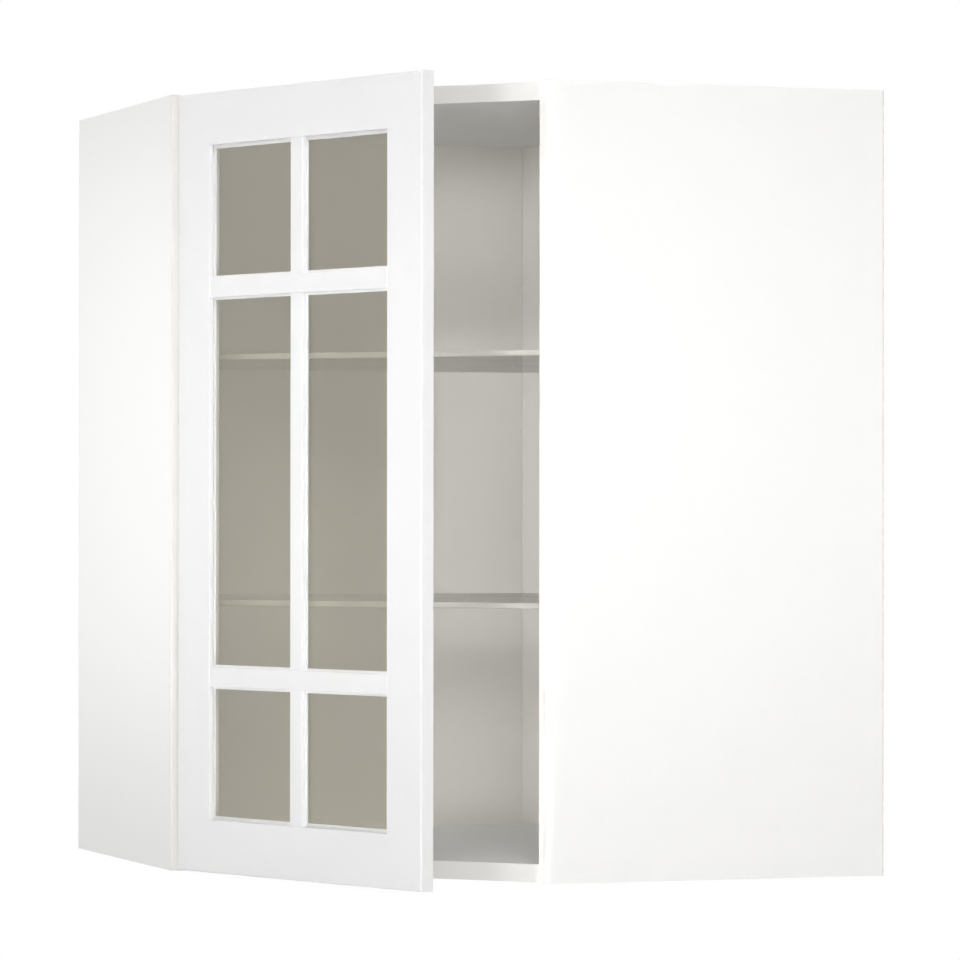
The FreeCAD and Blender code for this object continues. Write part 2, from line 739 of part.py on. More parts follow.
for name, level in hinge_levels.items():
    arm = new_body(f"arm_{name}")
    pad(arm, f"arm_{name}_crank", crank, f"{level} - {tip_half}", "sizes.arm_tip_rise")
    pad(arm, f"arm_{name}_bar", bar, f"{level} - sizes.arm_bar_rise / 2", "sizes.arm_bar_rise")
    boss = rod(f"arm_{name}_boss", "sizes.arm_boss", "sizes.arm_tip_rise",
               (arm_x, arm_y, f"{level} - {tip_half}"), "z", shown_sides)
    pin_hole = rod(f"arm_{name}_eye", hinge_hole, "sizes.arm_tip_rise + 2 * sizes.overrun",
                   (arm_x, arm_y, f"{level} - {tip_half} - sizes.overrun"), "z", shown_sides)
    start = lean(f"{bar_face} - sizes.overrun", "sizes.arm_screw_in")
    hole = rod(f"arm_{name}_hole", screw_hole, "sizes.arm_bar + 2 * sizes.overrun", (*start, level), "lean",
               hidden_sides)
    whole = cut(f"hinge_arm_{name}", joined(f"arm_{name}_solid", [arm, boss]), [pin_hole, hole])
    whole.Placement = front_frame
    keep(f"hinge_arm_{name}", whole)
    where = spot(f"{spine_face} + sizes.arm_bar", arm_screw_row, level, 180)
    arm_screws.append(screw(f"arm_screw_{name}", "sizes.screw_length - sizes.overrun", where))
    arm_pins.append(rod(
        f"arm_pin_{name}", "sizes.hinge_pin", f"2 * {link_reach} + 2 * sizes.lug_gap",
        (*at_front(arm_x, arm_y), f"{level} - {link_reach} - sizes.lug_gap"), "z", shown_sides,
    ))
keep("hinge_arm_screws", group("hinge_arm_screws", arm_screws))
keep("hinge_arm_pins", group("hinge_arm_pins", arm_pins))

# Hinge links: pairs of cheek plates from arm pin to cup pin, with a bow that lets them round the door's edge.
along = FreeCAD.Vector(arm_pin - cup_pin).normalize()
side = FreeCAD.Vector(along.y, -along.x, 0)
bow = side * number("sizes.link_bulge")
mid_line = Part.makePolygon([
    cup_pin,
    cup_pin + along * number("sizes.link_bulge_start") + bow,
    cup_pin + along * number("sizes.link_bulge_end") + bow,
    arm_pin,
])
thick = number("sizes.link_thick")
cheek = mid_line.makeOffset2D(number("sizes.link_width") / 2, 0, True).extrude(up * thick)


def disc(radius, centre):
    turns = [FreeCAD.Rotation(up, 360 * step / shown_sides) for step in range(shown_sides + 1)]
    rim = [centre + turn.multVec(FreeCAD.Vector(radius, 0, 0)) for turn in turns]
    return Part.Face(Part.makePolygon(rim)).extrude(up * thick)


for pivot in (arm_pin, cup_pin):
    cheek = cheek.fuse(disc(number("sizes.link_eye"), pivot))
for pivot in (arm_pin, cup_pin):
    cheek = cheek.cut(disc(number(hinge_hole), pivot))
cheek = cheek.removeSplitter()
for name, level in hinge_levels.items():
    cheeks = []
    for rise in (f"{tip_half} + sizes.lug_gap", f"-({link_reach})"):
        copy = cheek.copy()
        copy.translate(up * number(f"{level} + {rise}"))
        cheeks.append(copy)
    link = doc.addObject("Part::Feature", f"hinge_link_{name}")
    link.Shape = Part.makeCompound(cheeks)
    link.Placement = link_frame
    keep(f"hinge_link_{name}", link)

# The door's frame is shaped whole, so that its mouldings run through, and then parted into stiles and rails.
frame_body = new_body("frame_whole")
slab = pad(frame_body, "frame_slab", corners(edge_x, free_x, front_y, back_y), "sizes.door_end_gap", door_height)
rounded = soften(frame_body, "PartDesign::Fillet", "frame_round", slab, edges_where(slab, on_face_y(front_y)),
                 "Radius", "sizes.door_round")


def hollow(body, name, inset, start, depth):
    item = body.newObject("PartDesign::SubtractiveBox", name)
    item.setExpression("Length", f"{door_width} - 2 * ({inset})")
    item.setExpression("Width", depth)
    item.setExpression("Height", f"{door_height} - 2 * ({inset})")
    set_place(item, (f"{edge_x} + {inset}", start, f"sizes.door_end_gap + {inset}"), FreeCAD.Rotation())
    doc.recompute()
    return item


lip_y = f"({front_y} + sizes.lip_depth)"
glass_y = f"({lip_y} + sizes.bead_thick)"
retainer_y = f"({glass_y} + sizes.glass_thick)"
hollow(frame_body, "frame_rebate", "sizes.stile - sizes.rebate", lip_y, "sizes.door_thick")
opened = hollow(frame_body, "frame_opening", "sizes.stile", f"{front_y} - sizes.overrun", "sizes.door_thick")
front_edges = on_face_y(front_y)
low_x = number(f"{edge_x} + sizes.stile")
high_x = number(f"{free_x} - sizes.stile")
slack = number("sizes.overrun")


def on_opening(edge):
    return front_edges(edge) and all(low_x - slack < end.Point.x < high_x + slack for end in edge.Vertexes) \
        and abs(edge.CenterOfMass.z - number("sizes.height / 2")) < number("sizes.height / 2 - sizes.stile / 2")


soften(frame_body, "PartDesign::Chamfer", "frame_chamfer", opened, edges_where(opened, on_opening),
       "Size", "sizes.inner_chamfer")


def frame_part(name, x0, x1, z0, z1):
    reach = box(f"{name}_reach", (x0, f"{front_y} - sizes.overrun", z0),
                (f"{x1} - ({x0})", "sizes.door_thick + 2 * sizes.overrun", f"{z1} - ({z0})"))
    return common(f"{name}_blank", frame_body, reach)


left_line = f"({edge_x} + sizes.stile)"
right_line = f"({free_x} - sizes.stile)"
low_line = "(sizes.door_end_gap + sizes.stile)"
high_line = f"({door_top} - sizes.stile)"
rail_middles = {
    "bottom": "(sizes.door_end_gap + sizes.stile / 2)",
    "top": f"({door_top} - sizes.stile / 2)",
}
dowel_y = f"({front_y} + sizes.door_thick / 2)"
frame_dowels = []
dowel_holes = {}
for side_name, line in (("hinge", left_line), ("free", right_line)):
    for rail_name, middle in rail_middles.items():
        for place, sign in enumerate("+-"):
            level = f"{middle} {sign} sizes.frame_dowel_pitch / 2"
            title = f"frame_{side_name}_{rail_name}_{place}"
            start = f"{line} - sizes.frame_dowel_half"
            frame_dowels.append(rod(f"{title}_dowel", "sizes.frame_dowel_radius", "2 * sizes.frame_dowel_half",
                                    (start, dowel_y, level), "x", hidden_sides))
            for piece_name in (f"door_stile_{side_name}", f"door_rail_{rail_name}"):
                dowel_holes.setdefault(piece_name, []).append(rod(
                    f"{title}_{piece_name}_hole", "sizes.frame_dowel_radius + sizes.frame_dowel_play",
                    "2 * (sizes.frame_dowel_half + sizes.frame_dowel_play)",
                    (f"{start} - sizes.frame_dowel_play", dowel_y, level), "x", hidden_sides,
                ))
dowel_group = group("frame_dowels", frame_dowels)
dowel_group.Placement = door_frame
keep("frame_dowels", dowel_group)

stile_cuts = []
for name, level in hinge_levels.items():
    bore_depth = "(sizes.cup_depth + sizes.cup_play)"
    stile_cuts.append(rod(f"stile_{name}_bore", "sizes.cup_radius + sizes.cup_play", f"{bore_depth} + sizes.overrun",
                          (cup_x, f"{back_y} - {bore_depth}", level), "y"))
for place, level in enumerate(cup_screw_levels):
    depth = "(sizes.ear_screw_length - sizes.cup_lip_thick + sizes.screw_play)"
    stile_cuts.append(rod(f"stile_pilot_{place}", screw_hole, f"{depth} + sizes.overrun",
                          (cup_screw_x, f"{back_y} - {depth}", level), "y", hidden_sides))
stretch = "sizes.overrun"
frame_parts = {
    "door_stile_hinge": (f"{edge_x} - {stretch}", left_line, "0", "sizes.height"),
    "door_stile_free": (right_line, f"{free_x} + {stretch}", "0", "sizes.height"),
    "door_rail_bottom": (left_line, right_line, "0", low_line),
    "door_rail_top": (left_line, right_line, high_line, "sizes.height"),
}
for name, reach in frame_parts.items():
    tools = dowel_holes[name] + (stile_cuts if name == "door_stile_hinge" else [])
    member = cut(name, frame_part(name, *reach), tools)
    member.Placement = door_frame
    keep(name, member)

# Glazing bars: flush with the frame in front, with chamfered arrises and a thin lip against the glass.
middle_line = f"({edge_x} + {door_width} / 2)"
bar_half = "(sizes.bar_width / 2)"
lip_half = "(sizes.bar_width / 2 + sizes.bar_lip)"
bar_middles = {
    "lower": "(sizes.door_end_gap + sizes.bar_end)",
    "upper": f"({door_top} - sizes.bar_end)",
}


def glazing_bar(name, face, lip):
    body = new_body(name)
    x0, x1, z0, z1 = face
    front = pad(body, f"{name}_face", corners(x0, x1, front_y, lip_y), z0, f"{z1} - ({z0})")
    soften(body, "PartDesign::Chamfer", f"{name}_chamfer", front, edges_where(front, on_face_y(front_y)),
           "Size", "sizes.bar_chamfer")
    x0, x1, z0, z1 = lip
    pad(body, f"{name}_lip", corners(x0, x1, lip_y, glass_y), z0, f"{z1} - ({z0})")
    body.Placement = door_frame
    keep(name, body)


for name, middle in bar_middles.items():
    glazing_bar(
        f"glazing_bar_{name}",
        (left_line, right_line, f"{middle} - {bar_half}", f"{middle} + {bar_half}"),
        (f"{left_line} + sizes.bead_reach", f"{right_line} - sizes.bead_reach",
         f"{middle} - {lip_half}", f"{middle} + {lip_half}"),
    )
low_bar = bar_middles["lower"]
high_bar = bar_middles["upper"]
mullion_spans = {
    "bottom": (low_line, f"{low_bar} - {bar_half}", f"{low_line} + sizes.bead_reach", f"{low_bar} - {lip_half}"),
    "middle": (f"{low_bar} + {bar_half}", f"{high_bar} - {bar_half}",
               f"{low_bar} + {lip_half}", f"{high_bar} - {lip_half}"),
    "top": (f"{high_bar} + {bar_half}", high_line, f"{high_bar} + {lip_half}", f"{high_line} - sizes.bead_reach"),
}
for name, (face_low, face_high, lip_low, lip_high) in mullion_spans.items():
    glazing_bar(
        f"mullion_{name}",
        (f"{middle_line} - {bar_half}", f"{middle_line} + {bar_half}", face_low, face_high),
        (f"{middle_line} - {lip_half}", f"{middle_line} + {lip_half}", lip_low, lip_high),
    )


# Glazing beads, glass and retainers lie in the frame's rebate, one behind the other.
def ring(name, outer, inner_edge, start, depth):
    whole = box(
        f"{name}_whole", (f"{edge_x} + {outer}", start, f"sizes.door_end_gap + {outer}"),
        (f"{door_width} - 2 * ({outer})", depth, f"{door_height} - 2 * ({outer})"),
    )
    clear = box(
        f"{name}_clear", (f"{edge_x} + {inner_edge}", f"{start} - sizes.overrun", f"sizes.door_end_gap + {inner_edge}"),
        (f"{door_width} - 2 * ({inner_edge})", f"{depth} + 2 * sizes.overrun",
         f"{door_height} - 2 * ({inner_edge})"),
    )
    return cut(name, whole, [clear])


def four_strips(name, frame_ring, inner_edge):
    # Uprights run the full height and the level strips fit between them.
    strips = {
        "left": (edge_x, f"{edge_x} + {inner_edge}", "0", "sizes.height"),
        "right": (f"{free_x} - ({inner_edge})", free_x, "0", "sizes.height"),
        "low": (f"{edge_x} + {inner_edge}", f"{free_x} - ({inner_edge})", "0", "sizes.height / 2"),
        "high": (f"{edge_x} + {inner_edge}", f"{free_x} - ({inner_edge})", "sizes.height / 2", "sizes.height"),
    }
    items = []
    for strip_name, (x0, x1, z0, z1) in strips.items():
        reach = box(f"{name}_{strip_name}_reach", (x0, f"{front_y} - sizes.overrun", z0),
                    (f"{x1} - ({x0})", "sizes.door_thick + 2 * sizes.overrun", f"{z1} - ({z0})"))
        items.append(common(f"{name}_{strip_name}", frame_ring, reach))
    whole = group(name, items)
    whole.Placement = door_frame
    keep(name, whole)


rebate_edge = "(sizes.stile - sizes.rebate)"
bead_edge = "(sizes.stile + sizes.bead_reach)"
bead_ring = ring("bead_ring", f"({rebate_edge} + sizes.bead_play)", bead_edge, lip_y, "sizes.bead_thick")
bead_channel = ring("bead_channel", "(sizes.stile - sizes.bead_groove)", "(sizes.stile + sizes.bead_groove)",
                    f"({lip_y} - sizes.overrun)", "sizes.bead_groove_depth + sizes.overrun")
four_strips("glazing_beads", cut("bead_profile", bead_ring, [bead_channel]), bead_edge)
retainer_ring = ring("retainer_ring", f"({rebate_edge} + sizes.bead_play)", "sizes.stile", retainer_y,
                     "sizes.retainer_thick")
four_strips("glass_retainers", retainer_ring, "sizes.stile")
glass_edge = f"({rebate_edge} + sizes.glass_play)"
glass = box("door_glass", (f"{edge_x} + {glass_edge}", glass_y, f"sizes.door_end_gap + {glass_edge}"),
            (f"{door_width} - 2 * {glass_edge}", "sizes.glass_thick", f"{door_height} - 2 * {glass_edge}"))
glass_pane = group("glass_pane", [glass])
glass_pane.Placement = door_frame
keep("glass_pane", glass_pane)

# Hinge cups: round pans let into the stile, with a lip, two screw ears and lugs that carry the cup pin.
cup_back = f"({back_y} + sizes.cup_lip_thick)"
cup_front = f"({back_y} - sizes.cup_depth)"
lug_start = f"({link_reach} + sizes.lug_gap)"
cup_pins = []
for name, level in hinge_levels.items():
    pan = rod(f"cup_{name}_pan", "sizes.cup_radius", "sizes.cup_depth", (cup_x, cup_front, level), "y",
              cup_sides)
    lip = rod(f"cup_{name}_lip", "sizes.cup_radius + sizes.cup_lip", "sizes.cup_lip_thick",
              (cup_x, back_y, level), "y", cup_sides)
    ears = box(f"cup_{name}_ears", (f"{cup_x} + sizes.ear_start", back_y, f"{level} - sizes.ear_rise / 2"),
               ("sizes.ear_width", "sizes.cup_lip_thick", "sizes.ear_rise"))
    inside = rod(f"cup_{name}_inside", "sizes.cup_radius - sizes.cup_wall",
                 "sizes.cup_depth - sizes.cup_wall + sizes.cup_lip_thick + sizes.overrun",
                 (cup_x, f"{cup_front} + sizes.cup_wall", level), "y", cup_sides)
    shell = cut(f"cup_{name}_shell", joined(f"cup_{name}_solid", [pan, lip, ears]), [inside])
    lugs = []
    for place, low in enumerate((f"{level} + {lug_start}", f"{level} - sizes.cup_radius")):
        block = box(f"cup_{name}_block_{place}",
                    (f"{cup_pin_x} - sizes.lug_half", f"{cup_pin_y} - sizes.lug_half", low),
                    ("2 * sizes.lug_half", "sizes.lug_half + sizes.cup_pin_deep",
                     f"sizes.cup_radius - {lug_start}"))
        within = rod(f"cup_{name}_within_{place}", "sizes.cup_radius - sizes.cup_wall / 2", "sizes.cup_depth",
                     (cup_x, cup_front, level), "y", cup_sides)
        lugs.append(common(f"cup_{name}_lug_{place}", block, within))
    pin_length = f"(2 * ({lug_start} + sizes.lug_half))"
    tools = [rod(f"cup_{name}_eye", hinge_hole, f"{pin_length} + 2 * sizes.lug_gap",
                 (cup_pin_x, cup_pin_y, f"{level} - {pin_length} / 2 - sizes.lug_gap"), "z", shown_sides)]
    for place, sign in enumerate("+-"):
        tools.append(rod(f"cup_{name}_hole_{place}", screw_hole, "sizes.cup_lip_thick + 2 * sizes.overrun",
                         (cup_screw_x, f"{back_y} - sizes.overrun",
                          f"{level} {sign} sizes.ear_screw_pitch / 2"), "y", hidden_sides))
    cup = cut(f"hinge_cup_{name}", joined(f"cup_{name}_fitted", [shell, *lugs]), tools)
    cup.Placement = door_frame
    keep(f"hinge_cup_{name}", cup)
    cup_pins.append(rod(f"cup_pin_{name}", "sizes.hinge_pin", pin_length,
                        (cup_pin_x, cup_pin_y, f"{level} - {pin_length} / 2"), "z", shown_sides))
pin_group = group("hinge_cup_pins", cup_pins)
pin_group.Placement = door_frame
keep("hinge_cup_pins", pin_group)
cup_screws = group("cup_screws", [
    screw(f"cup_screw_{place}", "sizes.ear_screw_length", spot(cup_screw_x, cup_back, level, -90))
    for place, level in enumerate(cup_screw_levels)
])
cup_screws.Placement = door_frame
keep("cup_screws", cup_screws)

# Bumpers on the free stile meet the edges of the top and bottom panels.
bumpers = group("door_bumpers", [
    rod(f"bumper_{name}", "sizes.bumper_radius", "sizes.bumper_thick",
        (f"{free_x} - sizes.bumper_in", back_y, f"{low} + sizes.board / 2"), "y", shown_sides)
    for name, low in panel_levels.items()
])
bumpers.Placement = door_frame
keep("door_bumpers", bumpers)

doc.recompute()
for item in doc.Objects:
    if "Invalid" in item.State or "Error" in item.State:
        raise RuntimeError(f"{item.Label} is {item.State}")
for name, item in pieces.items():
    if item.Shape.isNull() or not item.Shape.isValid() or item.Shape.Volume <= 0:
        raise RuntimeError(f"{name} has no valid shape")
for name, item in pieces.items():
    item.Shape.exportStep(f"parts/{name}.step")
print(f"{len(pieces)} pieces written")
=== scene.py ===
import bpy
import bmesh
import math
import numpy as np
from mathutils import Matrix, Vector


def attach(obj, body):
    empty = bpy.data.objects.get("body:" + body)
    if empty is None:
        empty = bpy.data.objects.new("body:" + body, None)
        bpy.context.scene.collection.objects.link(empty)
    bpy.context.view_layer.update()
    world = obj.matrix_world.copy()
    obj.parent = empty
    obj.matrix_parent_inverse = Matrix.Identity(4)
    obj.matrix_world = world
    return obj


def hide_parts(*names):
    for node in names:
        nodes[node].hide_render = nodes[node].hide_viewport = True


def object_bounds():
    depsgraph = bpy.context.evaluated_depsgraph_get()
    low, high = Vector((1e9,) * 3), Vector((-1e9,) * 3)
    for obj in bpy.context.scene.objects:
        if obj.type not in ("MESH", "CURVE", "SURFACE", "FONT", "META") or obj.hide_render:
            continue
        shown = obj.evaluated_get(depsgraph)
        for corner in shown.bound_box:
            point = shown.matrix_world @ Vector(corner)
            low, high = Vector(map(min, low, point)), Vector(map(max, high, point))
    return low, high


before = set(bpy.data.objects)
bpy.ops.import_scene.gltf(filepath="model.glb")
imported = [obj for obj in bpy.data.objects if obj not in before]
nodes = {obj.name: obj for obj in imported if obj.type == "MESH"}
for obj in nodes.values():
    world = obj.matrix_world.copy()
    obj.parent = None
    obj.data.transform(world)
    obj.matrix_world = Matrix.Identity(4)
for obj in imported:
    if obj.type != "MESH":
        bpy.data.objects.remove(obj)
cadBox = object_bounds()
scene = bpy.context.scene
mm = 0.001
weld = 0.002 * mm  # corners of a mesh that lie closer than this are one
print("cabinet frame loaded:", len(nodes), "pieces")


def linear(hexText):
    shares = [int(hexText[i:i + 2], 16) / 255 for i in (1, 3, 5)]
    return (*(c / 12.92 if c <= 0.04045 else ((c + 0.055) / 1.055) ** 2.4 for c in shares), 1)


def addNode(tree, kind, settings=None, links=None):
    node = tree.nodes.new(kind)
    for key, value in (settings or {}).items():
        if isinstance(key, str) and key in node.bl_rna.properties:
            setattr(node, key, value)
        else:
            node.inputs[key].default_value = value
    for key, socket in (links or {}).items():
        tree.links.new(socket, node.inputs[key])
    return node


def newFinish(name, settings):
    finish = bpy.data.materials.new(name)
    finish.use_nodes = True
    shader = finish.node_tree.nodes["Principled BSDF"]
    for key, value in settings.items():
        shader.inputs[key].default_value = value
    return finish, finish.node_tree, shader


# A finish with a fine grain that breaks up the gloss and lifts the surface a hair.
# The tone follows the grain, a slower drift, or flat spangles.
def grainFinish(name, settings, grain):
    finish, tree, shader = newFinish(name, settings)
    place = addNode(tree, "ShaderNodeTexCoord").outputs["Object"]
    fine = addNode(tree, "ShaderNodeTexNoise",
                   {"Scale": 1 / (grain["grainMm"] * mm), "Detail": grain["detail"],
                    "Roughness": grain["crisp"]}, {"Vector": place}).outputs[0]
    share = fine
    if "driftMm" in grain:
        drift = addNode(tree, "ShaderNodeTexNoise",
                        {"Scale": 1 / (grain["driftMm"] * mm), "Detail": grain["driftDetail"]},
                        {"Vector": place})
        share = drift.outputs[0]
    if "spangleMm" in grain:
        spangle = addNode(tree, "ShaderNodeTexVoronoi", {"Scale": 1 / (grain["spangleMm"] * mm)},
                          {"Vector": place})
        share = addNode(tree, "ShaderNodeSeparateColor", {}, {0: spangle.outputs["Color"]}).outputs[0]
    first, second = grain["tones"]
    tone = addNode(tree, "ShaderNodeMix", {"data_type": "RGBA", 6: linear(first), 7: linear(second)},
                   {0: share})
    low, high = grain["rough"]
    gloss = addNode(tree, "ShaderNodeMapRange", {"To Min": low, "To Max": high}, {"Value": fine})
    relief = addNode(tree, "ShaderNodeBump",
                     {"Strength": grain["relief"], "Distance": grain["reliefMm"] * mm}, {"Height": fine})
    tree.links.new(tone.outputs[2], shader.inputs["Base Color"])
    tree.links.new(gloss.outputs[0], shader.inputs["Roughness"])
    tree.links.new(relief.outputs[0], shader.inputs["Normal"])
    return finish, tree, shader, place


# Lays a second tone over a finish where the mask is 1.
def overlayTone(tree, shader, mask, tone):
    under = shader.inputs["Base Color"].links[0].from_socket
    laid = addNode(tree, "ShaderNodeMix", {"data_type": "RGBA"}, {0: mask, 6: under, 7: tone})
    tree.links.new(laid.outputs[2], shader.inputs["Base Color"])


# Detail is how many finer layers a grain has, and crisp is how much they count.
coatGrain = {"detail": 3.0, "crisp": 0.6, "driftDetail": 2.0, "reliefMm": 0.25}
metalGrain = {"detail": 4.0, "crisp": 0.5, "reliefMm": 0.1}

# Melamine-faced chipboard: cool white sheet with a fine pearl, pressed flat.
# The real pearl is under 1 mm, drawn at 4. The unlipped rear edges show the pressed chips.
melamine = {**coatGrain, "tones": ("#FAFAF9", "#F8F8F6"), "driftMm": 140, "grainMm": 4,
            "rough": (0.34, 0.46), "relief": 0.12, "rawDepthMm": 0.4, "rawDull": 0.45,
            "chipMm": 2.6, "chipStretch": (1.0, 1.0, 0.45), "chips": ("#8F6E48", "#D9BE93")}
melamineBoard, boardTree, boardShader, boardPlace = grainFinish("melamineChipboard", {"IOR": 1.5}, melamine)
cornerCut = max(vert.co.x + vert.co.y for vert in nodes["top_panel"].data.vertices)
axes = addNode(boardTree, "ShaderNodeSeparateXYZ", {}, {0: boardPlace}).outputs
nearWall = addNode(boardTree, "ShaderNodeMath", {"operation": "MAXIMUM"}, {0: axes[0], 1: axes[1]})
across = addNode(boardTree, "ShaderNodeMath", {"operation": "ADD"}, {0: axes[0], 1: axes[1]})
nearCut = addNode(boardTree, "ShaderNodeMath", {"operation": "SUBTRACT", 1: cornerCut},
                  {0: across.outputs[0]})
nearRear = addNode(boardTree, "ShaderNodeMath", {"operation": "MAXIMUM"},
                   {0: nearWall.outputs[0], 1: nearCut.outputs[0]})
rawEdge = addNode(boardTree, "ShaderNodeMath",
                  {"operation": "GREATER_THAN", 1: -melamine["rawDepthMm"] * mm},
                  {0: nearRear.outputs[0]}).outputs[0]
stretch = addNode(boardTree, "ShaderNodeMapping", {"Scale": melamine["chipStretch"]}, {0: boardPlace})
chips = addNode(boardTree, "ShaderNodeTexVoronoi", {"Scale": 1 / (melamine["chipMm"] * mm)},
                {"Vector": stretch.outputs[0]})
chipShare = addNode(boardTree, "ShaderNodeSeparateColor", {}, {0: chips.outputs["Color"]})
darkChip, paleChip = melamine["chips"]
chipTone = addNode(boardTree, "ShaderNodeMix",
                   {"data_type": "RGBA", 6: linear(darkChip), 7: linear(paleChip)},
                   {0: chipShare.outputs[0]})
overlayTone(boardTree, boardShader, rawEdge, chipTone.outputs[2])
sheetGloss = boardShader.inputs["Roughness"].links[0].from_socket
dull = addNode(boardTree, "ShaderNodeMath", {"operation": "MULTIPLY_ADD", 1: melamine["rawDull"]},
               {0: rawEdge, 2: sheetGloss})
boardTree.links.new(dull.outputs[0], boardShader.inputs["Roughness"])

# Hardboard back: white lacquer towards the room, brown screen-marked fibre towards the wall.
hardboard = {**coatGrain, "tones": ("#FAF7F2", "#F8F4EE"), "driftMm": 160, "grainMm": 5,
             "rough": (0.42, 0.54), "relief": 0.1, "fibre": ("#7A5638", "#96714C"), "fibreMm": 3.5,
             "fibreDetail": 6.0, "fibreCrisp": 0.7, "wallTurn": 0.5}
lacqueredHardboard, backTree, backShader, backPlace = grainFinish(
    "lacqueredHardboard", {"IOR": 1.5}, hardboard)
facing = addNode(backTree, "ShaderNodeTexCoord").outputs["Normal"]
turn = addNode(backTree, "ShaderNodeSeparateXYZ", {}, {0: facing}).outputs
toWall = addNode(backTree, "ShaderNodeMath", {"operation": "MAXIMUM"}, {0: turn[0], 1: turn[1]})
rear = addNode(backTree, "ShaderNodeMath", {"operation": "GREATER_THAN", 1: hardboard["wallTurn"]},
               {0: toWall.outputs[0]})
fibre = addNode(backTree, "ShaderNodeTexNoise",
                {"Scale": 1 / (hardboard["fibreMm"] * mm), "Detail": hardboard["fibreDetail"],
                 "Roughness": hardboard["fibreCrisp"]}, {"Vector": backPlace})
darkFibre, paleFibre = hardboard["fibre"]
fibreTone = addNode(backTree, "ShaderNodeMix",
                    {"data_type": "RGBA", 6: linear(darkFibre), 7: linear(paleFibre)},
                    {0: fibre.outputs[0]})
overlayTone(backTree, backShader, rear.outputs[0], fibreTone.outputs[2])

# Plastic edging: a shade warmer and glossier than the sheet, drawn out smooth by the roller.
edging = {**coatGrain, "tones": ("#F0EEEB", "#ECEAE6"), "driftMm": 60, "grainMm": 3, "rough": (0.28, 0.38),
          "relief": 0.08, "reliefMm": 0.2}
edgeBand = grainFinish("plasticEdging", {"IOR": 1.5}, edging)[0]

# Sprayed satin lacquer: even cool white with a soft orange peel, real peel about 1.5 mm, drawn at 5.
lacquer = {**coatGrain, "tones": ("#F8F8F8", "#F5F5F4"), "driftMm": 180, "grainMm": 5, "rough": (0.3, 0.4),
           "relief": 0.1}
satinLacquer = grainFinish("satinLacquer", {"IOR": 1.5}, lacquer)[0]

# Extruded bead: white plastic with a slight sheen.
bead = {**coatGrain, "tones": ("#F6F6F5", "#F2F2F0"), "driftMm": 40, "grainMm": 2.5, "rough": (0.3, 0.42),
        "relief": 0.08, "reliefMm": 0.2}
beadPlastic = grainFinish("extrudedBead", {"IOR": 1.49}, bead)[0]


# Float glass: clear, a trace of warm grey in the body, with a roll wave that bends reflections a hair; the
# door pane's body is greyer, part glass tint and part painted shade.
# A thin film of dust follows the wave and softens what the glass mirrors.
def floatGlass(name, glass):
    finish, tree, shader = newFinish(name, {"Base Color": linear(glass["body"]), "Transmission Weight": 1.0,
                                            "IOR": 1.52})
    place = addNode(tree, "ShaderNodeTexCoord").outputs["Object"]
    wave = addNode(tree, "ShaderNodeTexNoise", {"Scale": 1 / (glass["waveMm"] * mm), "Detail": 1.0},
                   {"Vector": place}).outputs[0]
    (low, high), (thin, thick) = glass["swing"], glass["film"]
    film = addNode(tree, "ShaderNodeMapRange",
                   {"From Min": low, "From Max": high, "To Min": thin, "To Max": thick}, {"Value": wave})
    bend = addNode(tree, "ShaderNodeBump", {"Strength": glass["bend"], "Distance": glass["bendMm"] * mm},
                   {"Height": wave})
    tree.links.new(film.outputs[0], shader.inputs["Roughness"])
    tree.links.new(bend.outputs[0], shader.inputs["Normal"])
    return finish


rollWave = {"swing": (0.35, 0.75), "bend": 0.05}
# Door pane: its grey body is part glass tint and part painted shade. It darkens the inside seen through the
# door in place of the shadow that the pane does not cast.
doorPaneTintAndShade = {**rollWave, "body": "#E6E2D5", "waveMm": 70, "film": (0.0, 0.03), "bendMm": 0.05}
shelfPane = {**rollWave, "body": "#DDDCD2", "waveMm": 90, "film": (0.05, 0.09), "bendMm": 0.03}
doorGlassTintAndShade = floatGlass("greyFloatGlassTintAndShade", doorPaneTintAndShade)
shelfGlass = floatGlass("clearFloatGlass", shelfPane)

# Ground and seamed glass edge: the fine grinding scatters light, so it reads as a pale matt line.
grind = {"tones": ("#E0DED4", "#EEECE3"), "grainMm": 1.2, "detail": 3.0, "crisp": 0.5, "rough": (0.45, 0.65),
         "relief": 0.2, "reliefMm": 0.1}
groundEdge = grainFinish("groundGlassEdge", {"Transmission Weight": 0.2, "IOR": 1.52}, grind)[0]

# Nickel plate: warm grey, bright, with faint press marks.
nickel = {**metalGrain, "tones": ("#C9C5BD", "#D6D2CA"), "grainMm": 3.0, "rough": (0.22, 0.3),
          "relief": 0.03}
nickelPlate = grainFinish("nickelPlatedSteel", {"Metallic": 1.0}, nickel)[0]

# Zinc plate: blue-grey and a little cloudy, as on common screws.
zinc = {**metalGrain, "tones": ("#B2B4B6", "#CACCCD"), "grainMm": 1.5, "rough": (0.28, 0.42), "relief": 0.15}
zincPlate = grainFinish("zincPlatedSteel", {"Metallic": 1.0}, zinc)[0]

# Die-cast zinc: dull grey with a sandy skin.
casting = {**metalGrain, "tones": ("#9C9D9D", "#B4B5B4"), "grainMm": 0.9, "rough": (0.42, 0.58),
           "relief": 0.3}
castZinc = grainFinish("dieCastZinc", {"Metallic": 1.0}, casting)[0]

# Galvanised sheet: flat spangles of a few millimetres that each catch the light differently.
zincDip = {**metalGrain, "tones": ("#A3A7A9", "#CDD0D1"), "spangleMm": 6, "grainMm": 1.2,
           "rough": (0.3, 0.45), "relief": 0.08}
galvanised = grainFinish("galvanisedSheet", {"Metallic": 1.0}, zincDip)[0]

# Turned beech: pale pink-brown with short dark flecks along the grain.
beech = {"tones": ("#B98F60", "#D8B98D"), "grainMm": 2.2, "detail": 5.0, "crisp": 0.5, "rough": (0.5, 0.7),
         "relief": 0.3, "reliefMm": 0.15}
beechDowel = grainFinish("turnedBeech", {}, beech)[0]

